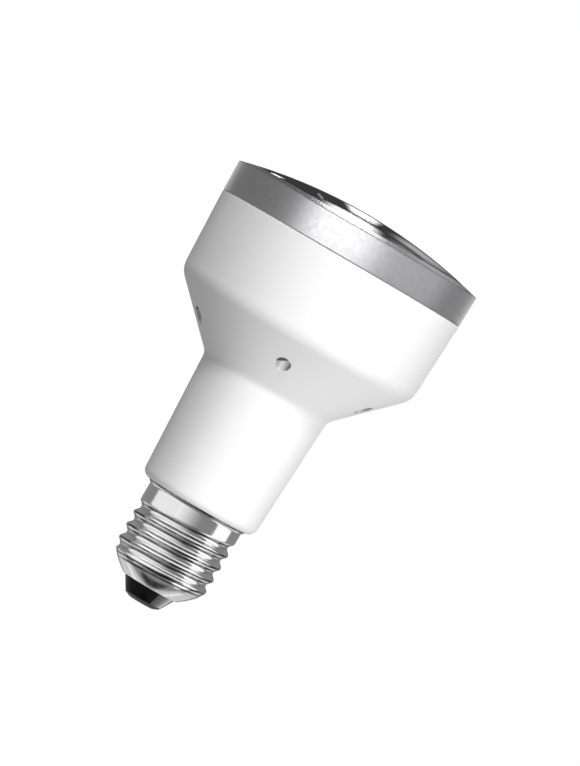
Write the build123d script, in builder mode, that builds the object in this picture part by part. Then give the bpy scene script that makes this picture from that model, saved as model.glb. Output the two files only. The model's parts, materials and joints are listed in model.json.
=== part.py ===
from build123d import *
from math import asin, atan2, cos, degrees, hypot, radians, sin, sqrt
import os

# Reflector energy saving lamp: a folded fluorescent tube with its ballast in a white moulded housing, closed by
# a clear domed front in a silver bezel and carried by a screw cap. Millimetres, +Z from the cap to the front,
# origin at the tip of the centre contact. Radii and heights are real sizes.
os.makedirs("parts", exist_ok=True)

# Screw cap
thread_crest_radius = 13.2
thread_depth = 1.05
thread_pitch = 25.4 / 7
thread_lead = 0.7  # from the top of the shell's cone to the start of the ridge
ridge_crest = 0.9  # width of the ridge at its crest
ridge_foot = 3.2  # width of the ridge where it leaves the wall
cap_wall = 0.4
cap_height = 28.3  # contact tip to the foot of the housing
collar_relief = 0.05  # collar below the crests
collar_height = 5.2
collar_flare = 0.9
lip_radius = 7.8
shell_cone_height = 4.8
shell_cone_bulge = 0.5
contact_overlap = 0.1  # insulator past the contact's edge
contact_land_radius = 3.4
contact_height = 1.0
contact_edge = 0.3
insulator_height = 3.6  # the part that shows below the shell
insulator_tip_radius = 5.05
insulator_depth = 4.2  # the part that is held inside the shell

# Housing
housing_wall = 1.8
spigot_depth = 4.6
neck_radius = 17.8  # where the neck meets the cone
neck_draft = 1.7  # the neck is that much slimmer at its foot
neck_length = 34.5
cone_rise = 15.4
cup_draft = 0.95  # the cup is that much slimmer at its shoulder
cup_height = 22.1
foot_round = 2.3
neck_blend = 3.0
shoulder_round = 6.0
rim_wall = 1.2
rim_lap = 2.0
rib_count = 3
rib_width = 1.2
rib_reach = 1.3
dimple_count = 5
dimple_radius = 2.3  # of the round-nosed pin that leaves a dimple
dimple_depth = 1.3
dimple_slant = 31.0  # between the pin and the face of the cone
dimple_rise = 7.5  # nose of the pin above the foot of the cone
dimple_turn = 2.0  # how far the first dimple is turned from the front

# Bezel and clear front
bezel_height = 8.4
bezel_wall = 1.2
bezel_front = 1.2
front_radius = 34.5  # the widest part of the lamp, at the bezel's rim
bezel_draft = 0.2
bezel_edge = 0.2
bezel_lip = 4.2  # width of the lip round the clear front
dome_rise = 4.5
lens_wall = 2.0
lens_flange = 1.6

# Reflector, tube and tube holder
reflector_wall = 1.0
reflector_foot = 1.0
reflector_waist_rise = 9.0
reflector_cone_gap = 4.4  # from the cone in to the reflector's waist
reflector_flange = 2.85
reflector_blend = 8.0
holder_floor = 1.2
holder_skirt_wall = 1.4
holder_skirt_depth = 4.6
socket_depth = 3.4
socket_wall = 0.5
tube_radius = 4.7
tube_gap = 1.9  # between neighbouring legs
tube_clearance = 1.6  # from the legs to the foot of the reflector
leg_count = 6
tube_turn = 60.0  # how far the first leg is turned from +X
tube_headroom = 3.0
bridge_radius = 2.5
bridge_rise = 4.0  # from the holder, and from the crown of a leg, to the axis of a bridge
tube_crown = 1.4  # height of the bevelled crown of a leg
lead_radius = 0.4
lead_spread = 2.4  # from the middle of a tube end to its leads
shell_lead_radius = 1.6  # from the axis to the lead's upright run
shell_lead_angle = 82.0

# Ballast
board_wall = 1.6
component_margin = 1.5  # from the edge of the board to the parts on it
choke_width = 9.4
choke_height = 10.4
choke_depth = 4.6
choke_limb = 1.3
coil_depth = 8.4
coil_round = 1.5
capacitor_radius = 4.5
capacitor_height = 19.0
capacitor_bevel = 0.6
film_width = 6.0
film_depth = 3.4
film_height = 8.0
film_round = 0.8
ring_radius = 3.5
ring_bore_radius = 1.8
ring_height = 4.0
transistor_radius = 2.1
transistor_flat = 1.0  # from the middle of a transistor to its flat
transistor_height = 4.8
diode_length = 4.3
diode_width = 2.6
diode_height = 2.2
diode_spacing = 4.0
diode_count = 4
fuse_radius = 1.5
fuse_length = 7.0
fuse_bevel = 0.5

# Clearances
fit_clearance = 0.05
seat_clearance = 0.15
slide_clearance = 0.25

# Radii that follow
thread_root_radius = thread_crest_radius - thread_depth
collar_radius = thread_crest_radius - collar_relief
collar_bore = collar_radius - cap_wall
contact_radius = insulator_tip_radius - contact_overlap
spigot_radius = collar_bore - fit_clearance
neck_foot_radius = neck_radius - neck_draft
cup_radius = front_radius - bezel_draft
shoulder_radius = cup_radius - cup_draft
bezel_bore = cup_radius - bezel_wall
rim_radius = bezel_bore - seat_clearance
window_radius = front_radius - bezel_lip
lens_radius = window_radius - seat_clearance
lens_bore = lens_radius - lens_wall
flange_radius = bezel_bore - slide_clearance
dome_radius = (front_radius**2 + dome_rise**2) / (2 * dome_rise)
tube_ring_radius = (2 * tube_radius + tube_gap) / (2 * sin(radians(180 / leg_count)))
tube_reach = tube_ring_radius + tube_radius
lead_bore = lead_radius + seat_clearance

# Slopes that follow, and the width of a slanted wall or clearance measured level
shell_slope = (thread_root_radius - lip_radius) / shell_cone_height
neck_slope = neck_draft / neck_length
cone_slope = (shoulder_radius - neck_radius) / cone_rise
cup_slope = cup_draft / cup_height
shell_lap = cap_wall * hypot(1, shell_slope)
neck_lap = housing_wall * hypot(1, neck_slope)
cone_lap = housing_wall * hypot(1, cone_slope)
holder_lap = seat_clearance * hypot(1, cone_slope)

# Heights that follow
lip_z = contact_height + insulator_height
shell_cone_top_z = lip_z + shell_cone_height
thread_z = shell_cone_top_z + thread_lead
insulator_top_z = lip_z + insulator_depth
foot_z = cap_height
collar_z = foot_z - collar_height
spigot_z = foot_z - spigot_depth
neck_top_z = foot_z + neck_length
shoulder_z = neck_top_z + cone_rise
bezel_z = shoulder_z + cup_height
rim_z = bezel_z + bezel_height
seat_z = rim_z - bezel_front
lens_foot_z = seat_z - lens_flange
reflector_seat_z = lens_foot_z - reflector_wall
apex_z = rim_z + dome_rise


def neck_bore(height):
    """Inner radius of the neck at a height."""
    return neck_foot_radius + neck_slope * (height - foot_z) - neck_lap


def cone_bore(height):
    """Inner radius of the cone at a height."""
    return neck_radius + cone_slope * (height - neck_top_z) - cone_lap


def dome_z(radius, inset=0.0):
    """Height of the front's sphere at a radius, or of a sphere inset from it."""
    return apex_z - dome_radius + sqrt((dome_radius - inset) ** 2 - radius**2)


def polar(radius, angle, height=0.0):
    """The point at a radius and an angle about the axis."""
    return (radius * cos(radians(angle)), radius * sin(radians(angle)), height)


# The tube holder sits where the cone is just wide enough for the sockets, and the board hangs below it
socket_reach = tube_reach + seat_clearance + socket_wall + holder_lap
socket_z = neck_top_z + (socket_reach + cone_lap - neck_radius) / cone_slope
holder_top_z = socket_z + socket_depth
holder_floor_z = socket_z - holder_floor
board_top_z = holder_floor_z - holder_skirt_depth
board_z = board_top_z - board_wall
holder_radius = cone_bore(holder_top_z) - holder_lap
skirt_radius = neck_bore(board_top_z) - seat_clearance
holder_step_z = holder_top_z - (holder_radius - skirt_radius) / cone_slope
board_radius = neck_bore(board_z) - slide_clearance
part_reach = board_radius - component_margin


def under_board(radius, angle):
    """Plane on the underside of the board, facing down, with its x axis pointing away from the lamp's axis."""
    return Plane(origin=polar(radius, angle, board_z), x_dir=polar(1, angle), z_dir=(0, 0, -1))


def reach(half_width, depth):
    """Distance from the axis to the middle of a block whose outer corners are at the edge of the board."""
    return sqrt(part_reach**2 - half_width**2) - depth / 2


def block_span(half_width, inner_radius):
    """Half the angle that a block takes up round the board."""
    return degrees(atan2(half_width, inner_radius))


def round_span(radius):
    """Half the angle that a round part at the edge of the board takes up."""
    return degrees(asin(radius / (part_reach - radius)))


# The parts under the board stand round its edge with equal gaps between them
choke_window = (choke_width - 4 * choke_limb) / 2
coil_width = 2 * (choke_limb + choke_window - seat_clearance)
choke_reach = reach(coil_width / 2, coil_depth)
film_reach = reach(film_width / 2, film_depth)
film_span = block_span(film_width / 2, film_reach - film_depth / 2)
choke_span = max(
    block_span(choke_width / 2, choke_reach - choke_depth / 2),
    block_span(coil_width / 2, choke_reach - coil_depth / 2),
)
part_spans = {
    "choke": choke_span,
    "ring": round_span(ring_radius),
    "capacitor": round_span(capacitor_radius),
    "first_film": film_span,
    "second_film": film_span,
    "first_transistor": round_span(transistor_radius),
    "second_transistor": round_span(transistor_radius),
}
part_gap = (360 - 2 * sum(part_spans.values())) / len(part_spans)
part_angles = {}
edge_angle = 0.0
for part_name, span in part_spans.items():
    part_angles[part_name] = edge_angle + span
    edge_angle += 2 * span + part_gap

# Cap shell: a thin pressed cup with a rolled thread, its lower edge drawn in round the insulator
with BuildPart() as cap_shell:
    with BuildSketch(Plane.XZ):
        with BuildLine():
            SagittaArc((lip_radius, lip_z), (thread_root_radius, shell_cone_top_z), -shell_cone_bulge)
            Polyline(
                (thread_root_radius, shell_cone_top_z),
                (thread_root_radius, collar_z - collar_flare),
                (collar_radius, collar_z),
                (collar_radius, foot_z),
                (collar_bore, foot_z),
                (collar_bore, collar_z),
                (thread_root_radius - cap_wall, collar_z - collar_flare),
                (thread_root_radius - shell_lap, shell_cone_top_z),
                (lip_radius - shell_lap, lip_z),
                (lip_radius, lip_z),
            )
        make_face()
    revolve(axis=Axis.Z)
    thread_height = spigot_z - ridge_foot / 2 - fit_clearance - thread_z
    with BuildLine() as ridge_path:
        Helix(thread_pitch, thread_height, thread_root_radius, center=(0, 0, thread_z))
    with BuildSketch(Plane.XZ):
        with BuildLine():
            Polyline(
                (thread_root_radius - cap_wall / 2, thread_z - ridge_foot / 2),
                (thread_crest_radius, thread_z - ridge_crest / 2),
                (thread_crest_radius, thread_z + ridge_crest / 2),
                (thread_root_radius - cap_wall / 2, thread_z + ridge_foot / 2),
                close=True,
            )
        make_face()
    sweep(path=ridge_path.line, is_frenet=True)
cap_shell.part.label = "cap_shell"
export_step(cap_shell.part, "parts/cap_shell.step")

# Cap insulator: black glass poured into the shell's lower end, with a bore for the contact lead
with BuildPart() as cap_insulator:
    with BuildSketch(Plane.XZ):
        with BuildLine():
            Polyline(
                (lead_bore, contact_height),
                (insulator_tip_radius, contact_height),
                (lip_radius - shell_lap - fit_clearance, lip_z),
                (lip_radius - shell_lap - fit_clearance + shell_slope * insulator_depth, insulator_top_z),
                (lead_bore, insulator_top_z),
                close=True,
            )
        make_face()
    revolve(axis=Axis.Z)
cap_insulator.part.label = "cap_insulator"
export_step(cap_insulator.part, "parts/cap_insulator.step")

# Contact plate: a shallow pressed button with a flat land at its tip
with BuildPart() as contact_plate:
    with BuildSketch(Plane.XZ):
        with BuildLine():
            Polyline(
                (contact_radius, contact_height - contact_edge),
                (contact_radius, contact_height),
                (0, contact_height),
                (0, 0),
                (contact_land_radius, 0),
                close=True,
            )
        make_face()
    revolve(axis=Axis.Z)
contact_plate.part.label = "contact_plate"
export_step(contact_plate.part, "parts/contact_plate.step")

# Housing: one moulding, with a spigot in the cap's collar, tapered neck, cone, drafted cup and stepped rim,
# ribs in the neck that carry the board, and a ring of blind dimples scooped into the cone from below
with BuildPart() as housing:
    with BuildSketch(Plane.XZ) as housing_profile:
        with BuildLine():
            Polyline(
                (spigot_radius, spigot_z),
                (spigot_radius, foot_z),
                (neck_foot_radius, foot_z),
                (neck_radius, neck_top_z),
                (shoulder_radius, shoulder_z),
                (cup_radius + cup_slope * bezel_edge, bezel_z + bezel_edge),
            )
            offset(amount=housing_wall, side=Side.LEFT, kind=Kind.INTERSECTION)
        make_face()
        foot_ledge = neck_foot_radius - spigot_radius
        for corner, round_radius in (
            ((neck_foot_radius, foot_z), min(foot_round, 0.75 * foot_ledge)),
            ((neck_radius, neck_top_z), neck_blend),
            ((shoulder_radius, shoulder_z), shoulder_round),
        ):
            fillet(housing_profile.vertices().sort_by_distance(corner)[0], round_radius)
    revolve(axis=Axis.Z)
    split(bisect_by=Plane.XY.offset(bezel_z), keep=Keep.BOTTOM)
    with BuildSketch(Plane.XY.offset(bezel_z - rim_lap)):
        Circle(rim_radius)
        Circle(rim_radius - rim_wall, mode=Mode.SUBTRACT)
    extrude(amount=reflector_seat_z - bezel_z + rim_lap)
    rib_foot_z = foot_z + housing_wall / 2
    with BuildSketch(*[Plane.XZ.rotated((0, 0, 360 * i / rib_count)) for i in range(rib_count)]):
        with BuildLine():
            Polyline(
                (board_radius - rib_reach, rib_foot_z),
                (neck_bore(rib_foot_z) + housing_wall / 2, rib_foot_z),
                (neck_bore(board_z) + housing_wall / 2, board_z),
                (board_radius - rib_reach, board_z),
                close=True,
            )
        make_face()
    extrude(amount=rib_width / 2, both=True)
    cone_angle = degrees(atan2(cone_slope, 1))
    pin_lean = radians(cone_angle - dimple_slant)
    pin_outset = dimple_radius - dimple_depth
    pin_ring = neck_radius + cone_slope * dimple_rise + pin_outset * cos(radians(cone_angle))
    pin_z = neck_top_z + dimple_rise - pin_outset * sin(radians(cone_angle))
    pin_length = 2 * dimple_depth / sin(radians(dimple_slant))
    dimple_angles = [dimple_turn - 90 + 360 * i / dimple_count for i in range(dimple_count)]
    with Locations(
        *[
            Plane(
                origin=polar(pin_ring, angle, pin_z),
                z_dir=polar(-sin(pin_lean), angle, -cos(pin_lean)),
            )
            for angle in dimple_angles
        ]
    ):
        Sphere(dimple_radius, mode=Mode.SUBTRACT)
        Cylinder(
            dimple_radius,
            pin_length,
            align=(Align.CENTER, Align.CENTER, Align.MIN),
            mode=Mode.SUBTRACT,
        )
housing.part.label = "housing"
export_step(housing.part, "parts/housing.step")

# Bezel ring: the silver band and the narrow lip that holds the clear front
with BuildPart() as bezel_ring:
    with BuildSketch(Plane.XZ):
        with BuildLine():
            Polyline(
                (front_radius, rim_z),
                (cup_radius, bezel_z + bezel_edge),
                (cup_radius - bezel_edge, bezel_z),
                (bezel_bore, bezel_z),
                (bezel_bore, seat_z),
                (window_radius, seat_z),
                (window_radius, dome_z(window_radius)),
            )
            RadiusArc((window_radius, dome_z(window_radius)), (front_radius, rim_z), dome_radius)
        make_face()
    revolve(axis=Axis.Z)
bezel_ring.part.label = "bezel_ring"
export_step(bezel_ring.part, "parts/bezel_ring.step")

# Front lens: a clear shallow dome, flush with the bezel, on a flange held under the bezel's lip
with BuildPart() as front_lens:
    with BuildSketch(Plane.XZ):
        with BuildLine():
            RadiusArc((0, apex_z), (lens_radius, dome_z(lens_radius)), dome_radius)
            Polyline(
                (lens_radius, dome_z(lens_radius)),
                (lens_radius, seat_z),
                (flange_radius, seat_z),
                (flange_radius, lens_foot_z),
                (lens_bore, lens_foot_z),
                (lens_bore, dome_z(lens_bore, lens_wall)),
            )
            RadiusArc((0, apex_z - lens_wall), (lens_bore, dome_z(lens_bore, lens_wall)), dome_radius - lens_wall)
            Line((0, apex_z), (0, apex_z - lens_wall))
        make_face()
    revolve(axis=Axis.Z)
front_lens.part.label = "front_lens"
export_step(front_lens.part, "parts/front_lens.step")

# Reflector: a bright thin bowl that stands on the tube holder and hangs by its flange on the housing's rim
reflector_base_radius = tube_reach + tube_clearance
reflector_waist_z = holder_top_z + reflector_waist_rise
with BuildPart() as reflector:
    with BuildSketch(Plane.XZ):
        with BuildLine():
            FilletPolyline(
                (reflector_base_radius, holder_top_z),
                (reflector_base_radius, holder_top_z + reflector_foot),
                (cone_bore(reflector_waist_z) - reflector_cone_gap, reflector_waist_z),
                (flange_radius - reflector_flange, lens_foot_z),
                (flange_radius, lens_foot_z),
                radius=(0, reflector_blend, 0),
            )
            offset(amount=reflector_wall, side=Side.RIGHT, kind=Kind.INTERSECTION)
        make_face()
    revolve(axis=Axis.Z)
reflector.part.label = "reflector"
export_step(reflector.part, "parts/reflector.step")

# Discharge tube: six straight legs with closed tops, joined in a row by short bridges near the tops and the feet,
# so that the discharge passes through all six; the first and the last leg hold the electrodes
leg_angles = [tube_turn + 360 * i / leg_count for i in range(leg_count)]
tube_top_z = dome_z(tube_reach, lens_wall) - tube_headroom
low_bridge_z = holder_top_z + bridge_rise
high_bridge_z = tube_top_z - bridge_rise - tube_crown
leg_spacing = 2 * tube_radius + tube_gap
with BuildPart() as discharge_tube:
    with BuildSketch(Plane.XY.offset(socket_z)):
        with PolarLocations(tube_ring_radius, leg_count, start_angle=tube_turn):
            Circle(tube_radius)
    extrude(amount=tube_top_z - socket_z)
    chamfer(discharge_tube.edges().group_by(Axis.Z)[-1], tube_crown, 2 * tube_crown)
    for i in range(leg_count - 1):
        start = Vector(*polar(tube_ring_radius, leg_angles[i]))
        end = Vector(*polar(tube_ring_radius, leg_angles[i + 1]))
        height = low_bridge_z if i % 2 else high_bridge_z
        with BuildSketch(Plane(origin=(start + end) / 2 + (0, 0, height), z_dir=end - start)):
            Circle(bridge_radius)
        extrude(amount=leg_spacing / 2, both=True)
discharge_tube.part.label = "discharge_tube"
export_step(discharge_tube.part, "parts/discharge_tube.step")

# Tube holder: a moulded plug in the foot of the cone, with a socket for each leg and a skirt down to the board
lead_points = []
for leg in (0, leg_count - 1):
    leg_x, leg_y, leg_z = polar(tube_ring_radius, leg_angles[leg])
    for side in (-1, 1):
        lead_x, lead_y, lead_z = polar(side * lead_spread, leg_angles[leg] + 90)
        lead_points.append((leg_x + lead_x, leg_y + lead_y))
with BuildPart() as tube_holder:
    with BuildSketch(Plane.XZ):
        with BuildLine():
            Polyline(
                (0, holder_top_z),
                (holder_radius, holder_top_z),
                (skirt_radius, holder_step_z),
                (skirt_radius, board_top_z),
                (skirt_radius - holder_skirt_wall, board_top_z),
                (skirt_radius - holder_skirt_wall, holder_floor_z),
                (0, holder_floor_z),
                close=True,
            )
        make_face()
    revolve(axis=Axis.Z)
    with BuildSketch(Plane.XY.offset(holder_top_z)):
        with PolarLocations(tube_ring_radius, leg_count, start_angle=tube_turn):
            Circle(tube_radius + seat_clearance)
    extrude(amount=-socket_depth, mode=Mode.SUBTRACT)
    with BuildSketch(Plane.XY.offset(socket_z)):
        with Locations(*lead_points):
            Circle(lead_bore)
    extrude(amount=-holder_floor, mode=Mode.SUBTRACT)
tube_holder.part.label = "tube_holder"
export_step(tube_holder.part, "parts/tube_holder.step")

# Tube leads: two wires from each free end of the tube, down through the holder to the board
with BuildPart() as tube_leads:
    with BuildSketch(Plane.XY.offset(board_top_z)):
        with Locations(*lead_points):
            Circle(lead_radius)
    extrude(amount=socket_z - board_top_z)
tube_leads.part.label = "tube_leads"
export_step(tube_leads.part, "parts/tube_leads.step")

# Ballast board: a round board on the housing's ribs, held down by the tube holder's skirt
with BuildPart() as ballast_board:
    with BuildSketch(Plane.XY.offset(board_z)):
        Circle(board_radius)
    extrude(amount=board_wall)
ballast_board.part.label = "ballast_board"
export_step(ballast_board.part, "parts/ballast_board.step")

# Choke: a ferrite core with two windows, and the coil wound on its middle limb
choke_plane = under_board(choke_reach, part_angles["choke"])
choke_face = Plane(origin=choke_plane.origin, x_dir=choke_plane.y_dir, z_dir=choke_plane.x_dir)
with BuildPart() as choke_core:
    with BuildSketch(choke_face):
        with Locations((0, choke_height / 2)):
            Rectangle(choke_width, choke_height)
            with GridLocations(2 * choke_limb + choke_window, 0, 2, 1):
                Rectangle(choke_window, choke_height - 2 * choke_limb, mode=Mode.SUBTRACT)
    extrude(amount=choke_depth / 2, both=True)
choke_core.part.label = "choke_core"
export_step(choke_core.part, "parts/choke_core.step")

with BuildPart() as choke_coil:
    with BuildSketch(choke_plane.offset(choke_limb + seat_clearance)):
        RectangleRounded(coil_depth, coil_width, coil_round)
        Rectangle(
            choke_depth + 2 * seat_clearance, 2 * (choke_limb + seat_clearance), mode=Mode.SUBTRACT
        )
    extrude(amount=choke_height - 2 * (choke_limb + seat_clearance))
choke_coil.part.label = "choke_coil"
export_step(choke_coil.part, "parts/choke_coil.step")

# Smoothing capacitor: a can hanging from the board, down towards the cap
with BuildPart() as smoothing_capacitor:
    with BuildSketch(under_board(part_reach - capacitor_radius, part_angles["capacitor"])):
        Circle(capacitor_radius)
    extrude(amount=capacitor_height)
    chamfer(smoothing_capacitor.edges().sort_by(Axis.Z)[0], capacitor_bevel)
smoothing_capacitor.part.label = "smoothing_capacitor"
export_step(smoothing_capacitor.part, "parts/smoothing_capacitor.step")

# Film capacitors: two dipped blocks side by side at the edge of the board
with BuildPart() as film_capacitors:
    with BuildSketch(
        under_board(film_reach, part_angles["first_film"]),
        under_board(film_reach, part_angles["second_film"]),
    ):
        RectangleRounded(film_depth, film_width, film_round)
    extrude(amount=film_height)
film_capacitors.part.label = "film_capacitors"
export_step(film_capacitors.part, "parts/film_capacitors.step")

# Ring transformer: a small toroid that drives the two transistors
with BuildPart() as ring_transformer:
    with BuildSketch(under_board(part_reach - ring_radius, part_angles["ring"])):
        Circle(ring_radius)
        Circle(ring_bore_radius, mode=Mode.SUBTRACT)
    extrude(amount=ring_height)
ring_transformer.part.label = "ring_transformer"
export_step(ring_transformer.part, "parts/ring_transformer.step")

# Transistors: a pair of round-backed packages side by side
with BuildPart() as transistors:
    with BuildSketch(
        under_board(part_reach - transistor_radius, part_angles["first_transistor"]),
        under_board(part_reach - transistor_radius, part_angles["second_transistor"]),
    ):
        Circle(transistor_radius)
        with Locations((-transistor_flat, 0)):
            Rectangle(
                transistor_radius, 2 * transistor_radius, align=(Align.MAX, Align.CENTER), mode=Mode.SUBTRACT
            )
    extrude(amount=transistor_height)
transistors.part.label = "transistors"
export_step(transistors.part, "parts/transistors.step")

# Rectifier diodes: four small blocks in a row on top of the board
with BuildPart() as rectifier_diodes:
    with BuildSketch(Plane.XY.offset(board_top_z)):
        with GridLocations(0, diode_spacing, 1, diode_count):
            Rectangle(diode_length, diode_width)
    extrude(amount=diode_height)
rectifier_diodes.part.label = "rectifier_diodes"
export_step(rectifier_diodes.part, "parts/rectifier_diodes.step")

# Fuse resistor: in the contact lead, inside the cap, below the run of the shell lead
shell_lead_z = collar_z - collar_flare - lead_radius - slide_clearance
fuse_top_z = shell_lead_z - lead_radius - slide_clearance
fuse_z = fuse_top_z - fuse_length
with BuildPart() as fuse_resistor:
    with BuildSketch(Plane.XY.offset(fuse_z)):
        Circle(fuse_radius)
    extrude(amount=fuse_length)
    chamfer(fuse_resistor.edges().filter_by(GeomType.CIRCLE), fuse_bevel)
fuse_resistor.part.label = "fuse_resistor"
export_step(fuse_resistor.part, "parts/fuse_resistor.step")

# Contact lead: from the contact plate through the insulator to the fuse, and on to the board
with BuildPart() as contact_lead:
    for start_z, end_z in ((contact_height, fuse_z), (fuse_top_z, board_z)):
        with BuildSketch(Plane.XY.offset(start_z)):
            Circle(lead_radius)
        extrude(amount=end_z - start_z)
contact_lead.part.label = "contact_lead"
export_step(contact_lead.part, "parts/contact_lead.step")

# Shell lead: down beside the contact lead, then out under the spigot to the shell
shell_lead_end = thread_root_radius - cap_wall - 2 * fit_clearance
with BuildPart() as shell_lead:
    with BuildLine() as shell_lead_path:
        Polyline(
            polar(shell_lead_radius, shell_lead_angle, board_z),
            polar(shell_lead_radius, shell_lead_angle, shell_lead_z),
            polar(shell_lead_end, shell_lead_angle, shell_lead_z),
        )
    with BuildSketch(under_board(shell_lead_radius, shell_lead_angle)):
        Circle(lead_radius)
    sweep(path=shell_lead_path.line, transition=Transition.RIGHT)
shell_lead.part.label = "shell_lead"
export_step(shell_lead.part, "parts/shell_lead.step")
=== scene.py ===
# %% [markdown]
# # Dressing a reflector energy saving lamp
# The lamp comes here as a packed set of solids, in metres, with its axis along +Z and the tip of its contact
# at the origin. The solids hold the real sizes. This file adds what solids lack: the rolled thread's round
# flanks, soft moulded edges, and finishes with grain, marks and sheen.

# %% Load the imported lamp
import json
import math
from functools import partial

import bmesh
import bpy
from mathutils import Matrix, Vector


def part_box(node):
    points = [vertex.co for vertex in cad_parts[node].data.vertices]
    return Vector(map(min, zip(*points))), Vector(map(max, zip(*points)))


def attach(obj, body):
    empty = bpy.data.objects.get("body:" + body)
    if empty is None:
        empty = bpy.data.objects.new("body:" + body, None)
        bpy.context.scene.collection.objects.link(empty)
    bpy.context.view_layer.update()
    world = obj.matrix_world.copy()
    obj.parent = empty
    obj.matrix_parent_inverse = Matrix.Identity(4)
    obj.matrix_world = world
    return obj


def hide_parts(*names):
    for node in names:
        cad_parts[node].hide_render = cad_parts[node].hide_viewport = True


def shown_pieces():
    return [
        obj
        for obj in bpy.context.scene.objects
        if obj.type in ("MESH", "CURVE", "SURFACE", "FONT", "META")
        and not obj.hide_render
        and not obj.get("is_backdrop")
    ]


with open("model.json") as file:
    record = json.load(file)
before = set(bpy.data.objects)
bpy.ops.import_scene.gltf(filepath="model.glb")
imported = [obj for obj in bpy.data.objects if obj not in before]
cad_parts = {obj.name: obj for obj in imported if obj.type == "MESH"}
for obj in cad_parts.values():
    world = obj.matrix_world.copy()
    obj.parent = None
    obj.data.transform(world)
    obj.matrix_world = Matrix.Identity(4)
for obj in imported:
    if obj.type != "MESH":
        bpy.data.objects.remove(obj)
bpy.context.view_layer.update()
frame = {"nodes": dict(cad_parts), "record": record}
nodes = frame["nodes"]
scene = bpy.context.scene
mm = 0.001

# %% [markdown]
# ## Camera
# The photograph was taken from far away with a long lens, square to the lamp's axis, and the lamp leans over
# to the right. The lamp keeps its own upright frame here, so it is the camera that rolls.

# %% Camera
lean = math.radians(30.2)
aim = Vector((4.7, 0, 66.7)) * mm
eye = Vector((4.7, -1500, 86.8)) * mm
forward = (aim - eye).normalized()
level_right = forward.cross(Vector((0, 0, 1))).normalized()
level_up = level_right.cross(forward)
right = level_right * math.cos(lean) + level_up * math.sin(lean)
up = level_up * math.cos(lean) - level_right * math.sin(lean)

camera_data = bpy.data.cameras.new("camera")
camera_data.lens = 280
camera_data.sensor_width = 36
camera = bpy.data.objects.new("camera", camera_data)
camera.matrix_world = Matrix.Translation(eye) @ Matrix((right, up, -forward)).transposed().to_4x4()
scene.collection.objects.link(camera)
scene.camera = camera
print("camera distance in mm:", round((aim - eye).length / mm))

# %% [markdown]
# ## Helpers for node trees
# Materials, the world and Geometry Nodes are all trees of nodes. One helper places a node, sets its options
# and fills its inputs, with a link where the value is another node's socket. The others place the few nodes
# that turn up in every tree.


# %% Node helpers
def place(tree, kind, inputs=None, **options):
    """Adds a node to a tree; an input that is given a socket is linked, any other value is set."""
    node = tree.nodes.new(kind)
    for name, value in options.items():
        setattr(node, name, value)
    for key, value in (inputs or {}).items():
        if isinstance(value, bpy.types.NodeSocket):
            tree.links.new(value, node.inputs[key])
        else:
            node.inputs[key].default_value = value
    return node


def math_node(tree, operation, *values, **options):
    """The output of a Math node."""
    inputs = dict(enumerate(values))
    return place(tree, "ShaderNodeMath", inputs, operation=operation, **options).outputs[0]


def ramp(tree, value, start, end, low, high):
    """A smooth run from one level to another as a value goes from start to end."""
    inputs = {"Value": value, "From Min": start, "From Max": end, "To Min": low, "To Max": high}
    return place(tree, "ShaderNodeMapRange", inputs, interpolation_type="SMOOTHSTEP").outputs[0]


def split(tree, vector):
    """The three parts of a vector."""
    return place(tree, "ShaderNodeSeparateXYZ", {0: vector}).outputs


def on_circle(tree, radius, angle, height):
    """The place at a radius, an angle and a height round the axis."""
    x = math_node(tree, "MULTIPLY", radius, math_node(tree, "COSINE", angle))
    y = math_node(tree, "MULTIPLY", radius, math_node(tree, "SINE", angle))
    return place(tree, "ShaderNodeCombineXYZ", {0: x, 1: y, 2: height}).outputs[0]


# %% [markdown]
# ## Studio
# A white lamp on a white ground needs light that still shows its form. The world is white where the camera
# looks straight at it, and grey to every surface, so that the plastic can shade. Polished metal shows what
# stands round it, so the grey has three dark patches that only mirrored rays see, as black cards in a studio
# give. Rays that pass through the clear front see a world that is dark low down. A pale floor lies well below
# the lamp and fades out, so that no edge of it shows.

# %% World
scene.view_settings.view_transform = "Standard"
world = bpy.data.worlds.new("studio")
world.use_nodes = True
world.node_tree.nodes.clear()
scene.world = world
studio = world.node_tree
sky = split(studio, place(studio, "ShaderNodeTexCoord").outputs["Generated"])
light_path = place(studio, "ShaderNodeLightPath").outputs
white = (1, 1, 1, 1)
soft_level = 0.208
gloss_base = 0.33
through_low, through_high = 0.04, 0.355
through_rise = (0.3, 0.8)


def dark_patch(share, side_fade, depth_fade, rise_fade):
    """A dark place in what the metal mirrors. Each fade gives where the dark starts and where it is full, for
    a direction's distance to the side, its depth away from the camera and its height."""
    side = ramp(studio, math_node(studio, "ABSOLUTE", sky[0]), *side_fade, 0, share)
    depth = ramp(studio, sky[1], *depth_fade, 0, 1)
    rise = ramp(studio, sky[2], *rise_fade, 0, 1)
    return math_node(studio, "MULTIPLY", side, math_node(studio, "MULTIPLY", depth, rise))


def level_for(ray, own, other):
    """The world's level for one kind of ray, with another level for the rest."""
    return place(studio, "ShaderNodeMix", {"Factor": light_path[ray], 2: other, 3: own}).outputs[0]


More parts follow.
